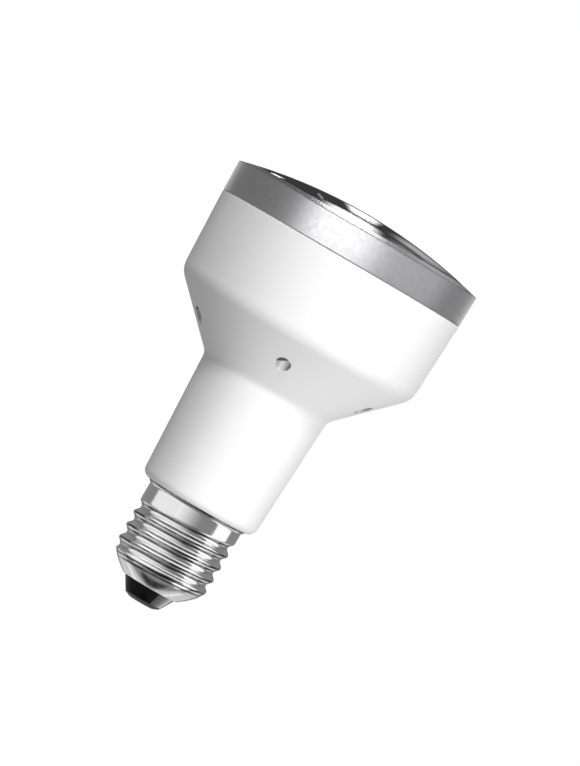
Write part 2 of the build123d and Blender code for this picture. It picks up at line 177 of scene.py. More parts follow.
patches = [
    dark_patch(0.85, (0.3, 0.15), (0.5, 0.7), (-0.15, -0.05)),
    dark_patch(0.9, (0.45, 0.25), (0.03, 0.11), (-0.92, -0.95)),
    dark_patch(0.9, (0.6, 0.4), (-0.25, -0.35), (-0.6, -0.75)),
]
gloss_level = gloss_base
for patch in patches:
    gloss_level = math_node(studio, "MULTIPLY", gloss_level, math_node(studio, "SUBTRACT", 1.0, patch))
through = ramp(studio, sky[2], *through_rise, through_low, through_high)
level = level_for("Is Glossy Ray", gloss_level, soft_level)
level = level_for("Is Transmission Ray", through, level)
surround = place(studio, "ShaderNodeBackground", {"Color": white, "Strength": level}).outputs[0]
ground = place(studio, "ShaderNodeBackground", {"Color": white, "Strength": 1.0}).outputs[0]
mixed = place(studio, "ShaderNodeMixShader", {0: light_path["Is Camera Ray"], 1: surround, 2: ground})
place(studio, "ShaderNodeOutputWorld", {"Surface": mixed.outputs[0]})
print("dark patches in the world:", len(patches))

# %% Floor
floor_radius = 500 * mm
floor_height = -100 * mm
floor_fade = (0.3 * floor_radius, 0.95 * floor_radius)
floor_mesh = bpy.data.meshes.new("floor")
outline = bmesh.new()
lowered = Matrix.Translation((0, 0, floor_height))
bmesh.ops.create_circle(outline, cap_ends=True, segments=96, radius=floor_radius, matrix=lowered)
outline.to_mesh(floor_mesh)
outline.free()
floor = bpy.data.objects.new("floor", floor_mesh)
scene.collection.objects.link(floor)
floor.visible_diffuse = False
floor.visible_glossy = False
floor.visible_shadow = False
floor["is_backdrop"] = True

floor_finish = bpy.data.materials.new("pale_floor")
floor_finish.use_nodes = True
tree = floor_finish.node_tree
tree.nodes.clear()
spot = place(tree, "ShaderNodeTexCoord").outputs["Object"]
distance = place(tree, "ShaderNodeVectorMath", {0: spot}, operation="LENGTH").outputs["Value"]
fade = ramp(tree, distance, *floor_fade, 0, 1)
matt = place(tree, "ShaderNodeBsdfDiffuse", {"Color": (0.9, 0.9, 0.9, 1)})
gone = place(tree, "ShaderNodeBsdfTransparent")
mixed = place(tree, "ShaderNodeMixShader", {0: fade, 1: matt.outputs[0], 2: gone.outputs[0]})
place(tree, "ShaderNodeOutputMaterial", {"Surface": mixed.outputs[0]})
floor_mesh.materials.append(floor_finish)
print("floor below the contact in mm:", round(-floor_height / mm))

# %% [markdown]
# ## Panels
# A photographer flags each soft panel off the surfaces that it should not reach. Light linking does the same
# here: every panel lights one set of pieces only, and the sets are filled once all pieces are made. The
# housing's panels give matt light only, because a gleam along the edge of white plastic would run into the
# white ground. Those of the metal and of the clear front stand where they are to be mirrored.

# %% Panel tables
panels = {  # name, azimuth, elevation, distance, size, glow, height that it is aimed at
    "white_body": [
        ("key", 50, -10, 900, (500, 500), 7.4, 60),
        ("front", -5, 43, 900, (500, 120), 30.4, 60),
        ("low_left", -60, -75, 900, (500, 500), 1.3, 60),
        ("foot", 15, -50, 60, (60, 20), 1.2, 28),
        ("rear", 165, 5, 900, (500, 500), 8.0, 60),
    ],
    "inner_pieces": [("overhead", 0, 80, 800, (600, 600), 5.0, 60)],
    "front": [("dome_gleam", -40, 60, 800, (120, 300), 4.0, 110)],
    "cap_metal": [
        ("cap_left", -64, 0, 400, (592, 1196), 0.92, -136),
        ("cap_front", 0, 0, 400, (425, 1196), 0.92, -136),
        ("cap_right", 86, 0, 400, (315, 1196), 1.4, -136),
        ("cap_above", 0, 75, 400, (900, 500), 1.2, 22),
        ("cap_back", 180, -42, 400, (800, 260), 0.5, 22),
        ("cap_under", 180, -62, 400, (500, 120), 0.5, 22),
    ],
    "cap_black": [("glass_right", 116, -38, 400, (550, 380), 4.5, 5)],
    "band_metal": [
        ("band_front", -10, 0, 500, (620, 160), 5.1, 105),
        ("band_right", 60, 0, 500, (690, 160), 1.1, 105),
        ("band_far", 132, 0, 500, (400, 160), 0.25, 105),
        ("band_rear", 180, 0, 500, (620, 160), 1.1, 105),
        ("band_above", 0, 80, 800, (600, 600), 1.5, 105),
        ("lip_glow", 202, 68, 21.5, (18, 18), 7.0, 109),
        ("lip_right", 128, 38, 33, (40, 18), 0.8, 109),
    ],
}
matt_set = "white_body"
fades = {"cap_front": [(1, 0)]}
dome_distance = 1000
dome_height = 110
dome_fade = [(0, 0.35), (1, 0.65)]
dome_panels = [  # name, offset to the side, elevation, size, glow
    ("dome_low", -5, 12.2, (34, 150), 2.2),
    ("dome_high", -16, 23.3, (84, 98), 2.2),
    ("dome_low_right", 50, 12.2, (60, 150), 0.4),
    ("dome_high_right", 85, 23.3, (100, 98), 0.45),
    ("dome_tick", -51, 17, (2, 60), 1.0),
    ("dome_patch", -93, 13, (26, 50), 5.0),
]
print("panels:", {name: len(rows) for name, rows in panels.items()}, "behind the dome:", len(dome_panels))

# %% Panels
lit_by = {name: bpy.data.collections.new(name) for name in panels}


def studio_lamp(name, only, azimuth, elevation, distance, size, glow, height, fade=()):
    """A soft panel, aimed at a height on the axis, that lights one set of pieces. Azimuth 0 is on the
    camera's side, and 90 is on its right. Each fade gives the shares of the width where the glow starts and
    is full."""
    turn, rise = math.radians(azimuth), math.radians(elevation)
    away = Vector((math.sin(turn) * math.cos(rise), -math.cos(turn) * math.cos(rise), math.sin(rise)))
    data = bpy.data.lights.new(name, "AREA")
    data.shape = "RECTANGLE"
    data.size, data.size_y = size[0] * mm, size[1] * mm
    data.energy = glow * math.pi * data.size * data.size_y
    if fade:
        data.use_nodes = True
        panel = data.node_tree
        across = split(panel, place(panel, "ShaderNodeNewGeometry").outputs["Parametric"])[0]
        strength = 1.0
        for start, full in fade:
            strength = math_node(panel, "MULTIPLY", strength, ramp(panel, across, start, full, 0, 1))
        panel.links.new(strength, panel.nodes["Emission"].inputs["Strength"])
    lamp = bpy.data.objects.new(name, data)
    lamp.location = Vector((0, 0, height * mm)) + away * distance * mm
    lamp.rotation_euler = away.to_track_quat("Z", "Y").to_euler()
    lamp.visible_camera = False
    lamp.visible_glossy = only != matt_set
    lamp.light_linking.receiver_collection = lit_by[only]
    scene.collection.objects.link(lamp)


for set_name, rows in panels.items():
    for name, *placing in rows:
        studio_lamp(name, set_name, *placing, fade=fades.get(name, ()))
for name, across, rise, size, glow in dome_panels:
    azimuth = 180 - math.degrees(math.atan(across / dome_distance))
    studio_lamp(name, "front", azimuth, rise, dome_distance, size, glow, dome_height, fade=dome_fade)

# %% [markdown]
# ## Effects that several finishes share
# Moulded and pressed surfaces are never quite even. Three effects turn up again and again, so each is a node
# group that every finish places with its own values: the fine grain of a mould, the marks that hands and
# boxes leave, and the lines that a turned or rolled piece has round its axis.


# %% Group helpers
def new_group(name, sockets_in, sockets_out):
    """An empty shader group with named sockets; sockets_in gives each one's default."""
    group = bpy.data.node_groups.new(name, "ShaderNodeTree")
    for socket_name, default in sockets_in.items():
        socket = group.interface.new_socket(socket_name, in_out="INPUT", socket_type="NodeSocketFloat")
        socket.default_value = default
    for socket_name in sockets_out:
        group.interface.new_socket(socket_name, in_out="OUTPUT", socket_type="NodeSocketFloat")
    entry = group.nodes.new("NodeGroupInput")
    return group, entry.outputs


def close_group(group, outputs):
    """Links what a group works out to its own outputs."""
    place(group, "NodeGroupOutput", outputs)


# %% Mould grain and handling marks
mould_grain, given = new_group("mould_grain", {"Grain Scale": 2500, "Cloud Scale": 60}, ["Height", "Cloud"])
spot = place(mould_grain, "ShaderNodeTexCoord").outputs["Object"]
noise = partial(place, mould_grain, "ShaderNodeTexNoise")
fine = noise({"Vector": spot, "Scale": given["Grain Scale"], "Detail": 3})
cloud = noise({"Vector": spot, "Scale": given["Cloud Scale"], "Detail": 2})
close_group(mould_grain, {"Height": fine.outputs[0], "Cloud": cloud.outputs[0]})

mark_start = 0.72  # share of the way to a full mark
handling, given = new_group("handling_marks", {"Scale": 160, "Share": 0.3}, ["Marks"])
spot = place(handling, "ShaderNodeTexCoord").outputs["Object"]
wander = {"Vector": spot, "Scale": given["Scale"], "Detail": 6, "Distortion": 1.4}
bend = place(handling, "ShaderNodeTexNoise", wander).outputs[0]
full = math_node(handling, "SUBTRACT", 1.0, given["Share"])
start = math_node(handling, "MULTIPLY", full, mark_start)
marks = place(handling, "ShaderNodeMapRange", {"Value": bend, "From Min": start, "From Max": full})
close_group(handling, {"Marks": marks.outputs[0]})
print("shared effects:", [g.name for g in bpy.data.node_groups])

# %% Lines round the axis
axis_lines, given = new_group("axis_lines", {"Line Scale": 4000, "Break Scale": 40}, ["Lines"])
m = partial(math_node, axis_lines)
spot = place(axis_lines, "ShaderNodeTexCoord").outputs["Object"]
parts = split(axis_lines, spot)
reach = m("SQRT", m("ADD", m("MULTIPLY", parts[0], parts[0]), m("MULTIPLY", parts[1], parts[1])))
around = place(
    axis_lines,
    "ShaderNodeCombineXYZ",
    {
        0: m("MULTIPLY", m("ADD", reach, parts[2]), given["Line Scale"]),
        1: m("MULTIPLY", parts[0], given["Break Scale"]),
        2: m("MULTIPLY", parts[1], given["Break Scale"]),
    },
)
lines = place(axis_lines, "ShaderNodeTexNoise", {"Vector": around.outputs[0], "Scale": 1.0, "Detail": 2})
close_group(axis_lines, {"Lines": lines.outputs[0]})
print("shared effects:", [g.name for g in bpy.data.node_groups])

# %% [markdown]
# ## Finishes
# Every finish is a Principled shader whose colour, roughness and normal come from the shared effects. A
# colour runs between two close tones, so that no surface is one flat colour.


# %% Finish helpers
def new_finish(name, **constants):
    """A material with a Principled shader; constants are set on the shader's own sockets."""
    finish = bpy.data.materials.new(name)
    finish.use_nodes = True
    shader_tree = finish.node_tree
    shader_tree.nodes.clear()
    inputs = {key.replace("_", " "): value for key, value in constants.items()}
    shader = place(shader_tree, "ShaderNodeBsdfPrincipled", inputs)
    place(shader_tree, "ShaderNodeOutputMaterial", {"Surface": shader.outputs[0]})
    return finish, shader_tree, shader


def use_group(shader_tree, group, **values):
    """Places a shared effect and gives its outputs."""
    node = shader_tree.nodes.new("ShaderNodeGroup")
    node.node_tree = group
    for key, value in values.items():
        node.inputs[key.replace("_", " ")].default_value = value
    return node.outputs


def tones(shader_tree, shader, mask, low, high, shade=None, depth=0.08):
    """Runs the base colour between two tones by a mask; a shade mask takes it down to a share, the depth, of
    the darker one."""
    mix = partial(place, shader_tree, "ShaderNodeMix", data_type="RGBA")
    colour = mix({"Factor": mask, 6: (*low, 1), 7: (*high, 1)}).outputs[2]
    if shade:
        colour = mix({"Factor": shade, 6: colour, 7: (*(depth * c for c in low), 1)}).outputs[2]
    shader_tree.links.new(colour, shader.inputs["Base Color"])


def sheen_range(shader_tree, shader, mask, low, high):
    """Runs the roughness between two values by a mask."""
    spread = place(shader_tree, "ShaderNodeMapRange", {"Value": mask, "To Min": low, "To Max": high})
    shader_tree.links.new(spread.outputs[0], shader.inputs["Roughness"])


def relief(shader_tree, shader, height, strength, depth):
    """Bump from a height; depth is in millimetres."""
    inputs = {"Strength": strength, "Distance": depth * mm, "Height": height}
    bump = place(shader_tree, "ShaderNodeBump", inputs)
    shader_tree.links.new(bump.outputs[0], shader.inputs["Normal"])


# %% Two kinds of finish
grain_depth = 0.03
line_depth = 0.01


def moulded(
    name, low, high, rough=(0.32, 0.44), grain=2500, bump=0.25, cloud=60, marks=140, shade=None, **constants
):
    """A moulded or dipped finish with a fine grain, faint clouds and handling marks of a scale. A shade names
    an attribute of the piece that holds a mask of painted shade."""
    finish, shader_tree, shader = new_finish(name, **constants)
    grain_out = use_group(shader_tree, mould_grain, Grain_Scale=grain, Cloud_Scale=cloud)
    painted_shade_mask = None
    if shade:
        painted_shade_mask = place(shader_tree, "ShaderNodeAttribute", attribute_name=shade).outputs["Fac"]
    tones(shader_tree, shader, grain_out["Cloud"], low, high, painted_shade_mask)
    worn = use_group(shader_tree, handling, Scale=marks, Share=0.35)
    sheen_range(shader_tree, shader, worn["Marks"], *rough)
    relief(shader_tree, shader, grain_out["Height"], bump, grain_depth)
    return finish


def turned_metal(
    name, low, high, rough, lines=4000, breaks=40, bump=0.1, marks=220, shade=None, **constants
):
    """A metal finish with lines round the lamp's axis, dulled here and there by marks of a scale. A shade is
    a function that makes a mask in the finish's own tree, by which the colour is painted darker."""
    finish, shader_tree, shader = new_finish(name, Metallic=1.0, **constants)
    line_out = use_group(shader_tree, axis_lines, Line_Scale=lines, Break_Scale=breaks)
    painted_dark = shade(shader_tree) if shade else None
    tones(shader_tree, shader, line_out["Lines"], low, high, painted_dark, depth=0.12)
    worn = use_group(shader_tree, handling, Scale=marks, Share=0.4)
    sheen_range(shader_tree, shader, worn["Marks"], *rough)
    relief(shader_tree, shader, line_out["Lines"], bump, line_depth)
    return finish


# %% [markdown]
# ## Dark lines along the rolled thread
# Dark lines are painted along the thread. They follow the helix, so a mask can be worked out from a place's
# height and angle alone, with the same pitch and start as the thread itself. Painting it on a UV map would
# need an unwrapped thread. A dark rim painted round the shell's top stands for the shade in the gap under
# the housing's foot.

# %% Thread sizes
thread_pitch = 25.4 / 7
first_crest = 10.1
thread_turns = 3.42
thread_foot = 7.2
run_out_turns = 0.35
shell_top = 28.28
dark_line_rows = [  # share of a pitch below the crest, turn where the line ends, strength
    (0.0, thread_turns - 1, 1.0),
    (0.27, thread_turns, 1.0),
    (0.58, thread_turns, 0.25),
]
dark_line_edge = (0.85, 0.96)  # cosines between which a line comes up to its strength
turn_change = 0.3  # share of a pitch above a crest where the next turn starts
foot_fade = 0.6
# the rim is painted shade where the shell's top meets the housing's foot
rim_fade = (0.5, 0.3)  # below the shell's top
rim_strength = 0.9
print("thread pitch in mm:", round(thread_pitch, 3), "turns:", thread_turns)


# %% Painted dark lines of the rolled thread
def painted_cap_darkening(tree):
    """A mask of dark lines painted along the thread, on its crest, on the flank below and faintly near its
    root, and of a dark rim painted round the shell's top as the shade in the gap under the housing's foot."""
    m = partial(math_node, tree)
    spot = place(tree, "ShaderNodeTexCoord").outputs["Object"]
    parts = split(tree, spot)
    height = m("DIVIDE", parts[2], mm)
    angle = m("WRAP", m("ARCTAN2", parts[1], parts[0]), 2.5 * math.pi, 0.5 * math.pi)
    turn = m("DIVIDE", angle, 2 * math.pi)
    phase = m("SUBTRACT", m("DIVIDE", m("SUBTRACT", height, first_crest), thread_pitch), turn)
    groove_turn = m("ADD", turn, m("FLOOR", m("SUBTRACT", phase, turn_change)))
    painted_dark = 0.0
    for drop, last_turn, strength in dark_line_rows:
        wave = m("COSINE", m("MULTIPLY", m("ADD", phase, drop), 2 * math.pi))
        line = ramp(tree, wave, *dark_line_edge, 0, strength)
        ending = ramp(tree, groove_turn, last_turn - run_out_turns, last_turn, 1, 0)
        painted_dark = m("MAXIMUM", painted_dark, m("MULTIPLY", line, ending))
    painted_dark = m("MULTIPLY", painted_dark, ramp(tree, height, thread_foot, thread_foot + foot_fade, 0, 1))
    rim = ramp(tree, height, shell_top - rim_fade[0], shell_top - rim_fade[1], 0, rim_strength)
    uneven = place(tree, "ShaderNodeTexNoise", {"Vector": spot, "Scale": 350, "Detail": 3}).outputs[0]
    return m("MULTIPLY", m("MAXIMUM", painted_dark, rim), ramp(tree, uneven, 0.3, 0.6, 0.7, 1))


# %% [markdown]
# ## Finishes of the pieces
# The outer pieces are white moulded plastic, bright nickel plate, black glass, a dull soldered contact and a
# satin silver band. The pieces inside need less care, so tables hold their tones and a loop makes them all.

# %% Finishes of the outer pieces
finishes = {
    # the housing's colour is painted darker by the shade that its mesh stores for the scoops and the faces
    # that look down
    "white_plastic": moulded(
        "white_plastic",
        (0.86, 0.86, 0.86),
        (0.9, 0.9, 0.9),
        rough=(0.36, 0.4),
        bump=0.12,
        marks=500,
        shade="hollow",
    ),
    # the cap's colour is painted darker in lines along the thread and in shade at its top rim
    "nickel_plate": turned_metal(
        "nickel_plate",
        (0.55, 0.55, 0.55),
        (0.73, 0.73, 0.73),
        rough=(0.12, 0.18),
        bump=0.14,
        marks=600,
        shade=painted_cap_darkening,
    ),
    "black_glass": moulded(
        "black_glass",
        (0.004, 0.004, 0.004),
        (0.012, 0.011, 0.011),
        rough=(0.08, 0.2),
        grain=900,
        Specular_IOR_Level=0.15,
    ),
    "contact_metal": turned_metal(
        "contact_metal", (0.14, 0.135, 0.13), (0.24, 0.235, 0.225), rough=(0.3, 0.4), lines=2500
    ),
    "silver_band": moulded(
        "silver_band",
        (0.37, 0.37, 0.38),
        (0.47, 0.47, 0.48),
        rough=(0.4, 0.46),
        bump=0.06,
        cloud=800,
        marks=1200,
        Metallic=1.0,
    ),
}
print("finishes of the outer pieces:", len(finishes))

# %% Finishes of the inner pieces
moulded_tones = {  # darker tone, lighter tone, roughness, bump
    "phosphor_glass": ((0.86, 0.86, 0.83), (0.92, 0.92, 0.9), (0.16, 0.3), 0.05),
    "holder_plastic": ((0.78, 0.77, 0.73), (0.86, 0.85, 0.81), (0.32, 0.44), 0.25),
    "board_laminate": ((0.42, 0.28, 0.12), (0.55, 0.38, 0.19), (0.5, 0.65), 0.25),
    "ferrite": ((0.05, 0.05, 0.055), (0.1, 0.1, 0.105), (0.55, 0.75), 0.4),
    "capacitor_sleeve": ((0.02, 0.02, 0.025), (0.04, 0.04, 0.05), (0.24, 0.38), 0.25),
    "dipped_resin": ((0.3, 0.05, 0.03), (0.45, 0.09, 0.05), (0.2, 0.34), 0.25),
    "moulded_epoxy": ((0.03, 0.03, 0.03), (0.055, 0.055, 0.055), (0.45, 0.6), 0.25),
    "fuse_body": ((0.36, 0.44, 0.34), (0.48, 0.56, 0.45), (0.4, 0.55), 0.25),
}
metal_tones = {  # darker tone, lighter tone, roughness
    "bright_reflector": ((0.84, 0.84, 0.85), (0.9, 0.9, 0.91), (0.12, 0.22)),
    "enamelled_copper": ((0.45, 0.16, 0.06), (0.66, 0.3, 0.13), (0.24, 0.4)),
    "tinned_wire": ((0.62, 0.61, 0.59), (0.74, 0.73, 0.71), (0.26, 0.4)),
}
for name, (low, high, rough, bump) in moulded_tones.items():
    finishes[name] = moulded(name, low, high, rough=rough, bump=bump)
for name, (low, high, rough) in metal_tones.items():
    finishes[name] = turned_metal(name, low, high, rough)
print("finishes so far:", len(finishes))

# %% [markdown]
# ## Finish of the clear front
# The front is clear and polished. Light that is bent through such a dome takes very many samples to become
# even, so shadow rays go straight through it, and the bowl behind it is lit as through an open window.

# %% Finish of the clear front
clear_front, shader_tree, shader = new_finish("clear_front", Transmission_Weight=1.0, IOR=1.49, Metallic=0.0)
grain_out = use_group(shader_tree, mould_grain, Grain_Scale=300, Cloud_Scale=30)
tones(shader_tree, shader, grain_out["Cloud"], (0.95, 0.96, 0.96), (0.99, 0.99, 0.99))
worn = use_group(shader_tree, handling, Scale=90, Share=0.3)
sheen_range(shader_tree, shader, worn["Marks"], 0.0, 0.015)
relief(shader_tree, shader, grain_out["Cloud"], 0.006, 0.02)
let_through = place(
    shader_tree,
    "ShaderNodeMixShader",
    {
        0: place(shader_tree, "ShaderNodeLightPath").outputs["Is Shadow Ray"],
        1: shader.outputs[0],
        2: place(shader_tree, "ShaderNodeBsdfTransparent").outputs[0],
    },
)
shader_tree.links.new(let_through.outputs[0], shader_tree.nodes["Material Output"].inputs["Surface"])
finishes["clear_front"] = clear_front
print("finishes:", len(finishes))

# %% Finishes on the solids
slot_of = {row["node"]: row["material_slot"] for row in frame["record"]["subparts"]}
for node_name, solid in nodes.items():
    solid.data.materials.clear()
    solid.data.materials.append(finishes[slot_of[node_name]])
print("solids with a finish:", len(slot_of))

# %% [markdown]
# ## Turned pieces
# Most of the lamp is round about its axis, so its pieces can be made as on a lathe: a profile of radius and
# height, with its corners rounded, is carried round the axis. Doing this in mesh code instead of a Screw
# modifier lets the poles and the seam be welded as they are made.


# %% Lathe helpers
def rounded(corners, step=math.radians(9)):
    """A closed run of corners in millimetres; a third number rounds that corner by a radius."""
    points = []
    for i, corner in enumerate(corners):
        here = Vector(corner[:2])
        radius = corner[2] if len(corner) > 2 else 0
        if not radius:
            points.append(here)
            continue
        to_last = (Vector(corners[i - 1][:2]) - here).normalized()
        to_next = (Vector(corners[(i + 1) % len(corners)][:2]) - here).normalized()
        half = to_last.angle(to_next) / 2
        centre = here + (to_last + to_next).normalized() * radius / math.sin(half)
        spoke = here + to_last * radius / math.tan(half) - centre
        sweep = math.pi - 2 * half
        if to_last.x * to_next.y - to_last.y * to_next.x > 0:
            sweep = -sweep
        count = max(2, math.ceil(abs(sweep) / step))
        for k in range(count + 1):
            points.append(centre + Matrix.Rotation(sweep * k / count, 2) @ spoke)
    return points


def inset(corners, wall):
    """The same run of corners moved sideways by a wall's thickness, to the left of its direction."""
    lines = []
    for start, end in zip(corners, corners[1:]):
        start, end = Vector(start[:2]), Vector(end[:2])
        along = (end - start).normalized()
        shift = Vector((-along.y, along.x)) * wall
        lines.append((start + shift, along))
    moved = [lines[0][0]]
    for (first, along_first), (second, along_second) in zip(lines, lines[1:]):
        cross = along_first.x * along_second.y - along_first.y * along_second.x
        gap = second - first
        moved.append(first + along_first * (gap.x * along_second.y - gap.y * along_second.x) / cross)
    start, along = lines[-1]
    moved.append(start + along * (Vector(corners[-1][:2]) - Vector(corners[-2][:2])).length)
    return moved


# %% Mesh helpers
def soften(mesh, angle=32):
    """Smooth shading, with sharp edges where the faces meet at more than an angle."""
    mesh.polygons.foreach_set("use_smooth", [True] * len(mesh.polygons))
    mesh.set_sharp_from_angle(angle=math.radians(angle))


def turned(name, points, steps=160, closed=True):
    """A mesh turned round the axis from profile points in millimetres; an open profile ends on the axis."""
    shape = bmesh.new()
    turns = [2 * math.pi * k / steps for k in range(steps)]
    rings = []
    for radius, height in points:
        if radius < 1e-6:
            rings.append([shape.verts.new((0, 0, height * mm))] * steps)
            continue
        spots = [(radius * mm * math.cos(t), radius * mm * math.sin(t), height * mm) for t in turns]
        rings.append([shape.verts.new(spot) for spot in spots])
    pairs = list(zip(rings, rings[1:]))
    if closed:
        pairs.append((rings[-1], rings[0]))
    for lower, upper in pairs:
        for k in range(steps):
            corners = [lower[k], lower[(k + 1) % steps], upper[(k + 1) % steps], upper[k]]
            shape.faces.new(list(dict.fromkeys(corners)))
    bmesh.ops.recalc_face_normals(shape, faces=shape.faces)
    mesh = bpy.data.meshes.new(name)
    shape.to_mesh(mesh)
    shape.free()
    soften(mesh)
    return mesh


def new_piece(name, mesh, node_name):
    """Links a finished mesh as the piece that stands for a solid."""
    piece = bpy.data.objects.new(name, mesh)
    scene.collection.objects.link(piece)
    mesh.materials.clear()
    mesh.materials.append(finishes[slot_of[node_name]])
    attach(piece, "root")
    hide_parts(node_name)
    print(name, "faces:", len(mesh.polygons))
    return piece


# %% [markdown]
# ## Cap insulator and contact
# The lower end of the cap is black glass, poured in hot, with a pressed metal button soldered on its tip.
# Both are plain turned pieces with softened edges.

# %% Cap insulator and contact
contact_top = 1.0
contact_radius = 4.95
lip_height = 4.6
lip_radius = 7.8
lead_bore = 0.55
glass_top = 8.8
insulator_corners = [
    (lead_bore, contact_top),
    (5.05, contact_top, 0.35),
    (7.2, lip_height),
    (11.0, glass_top, 0.5),
    (lead_bore, glass_top),
]
new_piece("cap_glass", turned("cap_glass", rounded(insulator_corners), 128), "cap_insulator")
contact_corners = [
    (0, 0),
    (3.4, 0, 1.2),
    (contact_radius, 0.7, 0.25),
    (contact_radius, contact_top),
    (0, contact_top),
]
contact_mesh = turned("contact_button", rounded(contact_corners), 96, closed=False)
new_piece("contact_button", contact_mesh, "contact_plate")

# %% [markdown]
# ## Cap shell
# The shell is thin sheet metal with its thread rolled into it, so its wall is as thin in the thread as
# elsewhere and its flanks are round. That shape follows a rule: the radius at each place depends only on its
# height and its angle. Geometry Nodes can state the rule directly: a flat grid is bent round the axis, the
# groove's depth comes from how far each point is from the helix, and the upper edge flares out a little.
# Sweeping a profile along a helix would leave a seam where it meets the shell.


# %% Helpers for Geometry Nodes
def new_rule(name, sizes, counts, start=()):
    """An empty Geometry Nodes tree with named inputs, a finish among them, and one geometry as its output.
    Start gives the inputs of other kinds, which come first."""
    rule = bpy.data.node_groups.new(name, "GeometryNodeTree")
    kinds = [*start, *((size, "Float") for size in sizes), *((count, "Int") for count in counts)]
    for socket_name, kind in kinds + [("Finish", "Material")]:
        rule.interface.new_socket(socket_name, in_out="INPUT", socket_type="NodeSocket" + kind)
    rule.interface.new_socket("Geometry", in_out="OUTPUT", socket_type="NodeSocketGeometry")
    return rule, rule.nodes.new("NodeGroupInput").outputs


def close_rule(rule, geometry, finish):
    """Ends a tree in real meshes with their finish."""
    whole = place(rule, "GeometryNodeRealizeInstances", {0: geometry})
    painted = place(rule, "GeometryNodeSetMaterial", {"Geometry": whole.outputs[0], "Material": finish})
    place(rule, "NodeGroupOutput", {0: painted.outputs[0]})
    print(rule.name, "nodes:", len(rule.nodes))


def grown(name, rule, sizes, start_mesh=None, wall=0):
    """The plain mesh that a Geometry Nodes tree makes from its named sizes, with a wall inwards if one is
    given."""
    source = bpy.data.objects.new(name, start_mesh or bpy.data.meshes.new(name))
    scene.collection.objects.link(source)
    modifier = source.modifiers.new("rule", "NODES")
    modifier.node_group = rule
    sockets = {item.name: item.identifier for item in rule.interface.items_tree if item.in_out == "INPUT"}
    for size_name, value in sizes.items():
        modifier[sockets[size_name]] = value
    if wall:
        shell = source.modifiers.new("wall", "SOLIDIFY")
        shell.thickness = wall * mm
        shell.offset = -1
    evaluated = source.evaluated_get(bpy.context.evaluated_depsgraph_get())
    mesh = bpy.data.meshes.new_from_object(evaluated)
    bpy.data.objects.remove(source)
    mesh.name = name
    return mesh


# %% Rolled shell rule: thread
shell_sizes = {
    "Crest Radius": 13.2,
    "Groove Depth": 1.15,
    "Pitch": thread_pitch,
    "First Crest": first_crest,
    "Groove Turns": thread_turns,
    "Lip Radius": lip_radius,
    "Lip Height": lip_height,
    "Cone Height": 6.6,
    "Top Height": shell_top,
    "Flare": 0.7,
    "Flare Height": 1.0,
}
first_turn = 0.75  # the grid's seam lies at the back
crest_sharpness = 1.25
rolled, given = new_rule("rolled_shell", shell_sizes, counts=("Columns", "Rows"))
m = partial(math_node, rolled)
grid_sizes = {"Size X": 1, "Size Y": 1, "Vertices X": given["Columns"], "Vertices Y": given["Rows"]}
grid = place(rolled, "GeometryNodeMeshGrid", grid_sizes)
flat = split(rolled, place(rolled, "GeometryNodeInputPosition").outputs[0])
turn_share = m("ADD", flat[0], first_turn)
angle = m("MULTIPLY", turn_share, 2 * math.pi)
shell_height = m("SUBTRACT", given["Top Height"], given["Lip Height"])
height = m("ADD", given["Lip Height"], m("MULTIPLY", m("ADD", flat[1], 0.5), shell_height))
phase = m("SUBTRACT", m("DIVIDE", m("SUBTRACT", height, given["First Crest"]), given["Pitch"]), turn_share)
crest_wave = m("ADD", 0.5, m("MULTIPLY", 0.5, m("COSINE", m("MULTIPLY", phase, 2 * math.pi))))
groove = m("SUBTRACT", 1.0, m("POWER", crest_wave, crest_sharpness))
turns_done = m("ADD", turn_share, m("FLOOR", phase))
run_out_start = m("SUBTRACT", given["Groove Turns"], run_out_turns)
run_out = ramp(rolled, turns_done, run_out_start, given["Groove Turns"], 1.0, 0.0)
cut = m("MULTIPLY", m("MULTIPLY", groove, run_out), given["Groove Depth"])
thread_radius = m("SUBTRACT", given["Crest Radius"], cut)
print("shell sizes in mm:", {name: round(size, 2) for name, size in shell_sizes.items()})

# %% Rolled shell rule: lower cone and flare
cone_bulge = 1.75
cone_blend = 0.35
weld = 0.0002
rise = m("DIVIDE", m("SUBTRACT", height, given["Lip Height"]), given["Cone Height"], use_clamp=True)
bulge = m("SUBTRACT", 1.0, m("POWER", m("SUBTRACT", 1.0, rise), cone_bulge))
cone_width = m("SUBTRACT", given["Crest Radius"], given["Lip Radius"])
cone_radius = m("ADD", given["Lip Radius"], m("MULTIPLY", bulge, cone_width))
open_radius = m("SMOOTH_MIN", thread_radius, cone_radius, cone_blend)
flare_start = m("SUBTRACT", given["Top Height"], given["Flare Height"])
flare = ramp(rolled, height, flare_start, given["Top Height"], 0.0, given["Flare"])
radius = m("ADD", open_radius, flare)
bent = on_circle(rolled, radius, angle, height)
scaled = place(rolled, "ShaderNodeVectorMath", {0: bent, "Scale": mm}, operation="SCALE").outputs[0]
moved = place(rolled, "GeometryNodeSetPosition", {"Geometry": grid.outputs["Mesh"], "Position": scaled})
welding = {"Geometry": moved.outputs[0], "Distance": weld * mm}
welded = place(rolled, "GeometryNodeMergeByDistance", welding)
close_rule(rolled, welded.outputs[0], given["Finish"])

# %% Cap shell
shell_wall = 0.4
shell_counts = {"Columns": 193, "Rows": 131, "Finish": finishes["nickel_plate"]}
shell_mesh = grown("rolled_cap", rolled, {**shell_sizes, **shell_counts}, wall=shell_wall)
soften(shell_mesh, 50)
new_piece("rolled_cap", shell_mesh, "cap_shell")
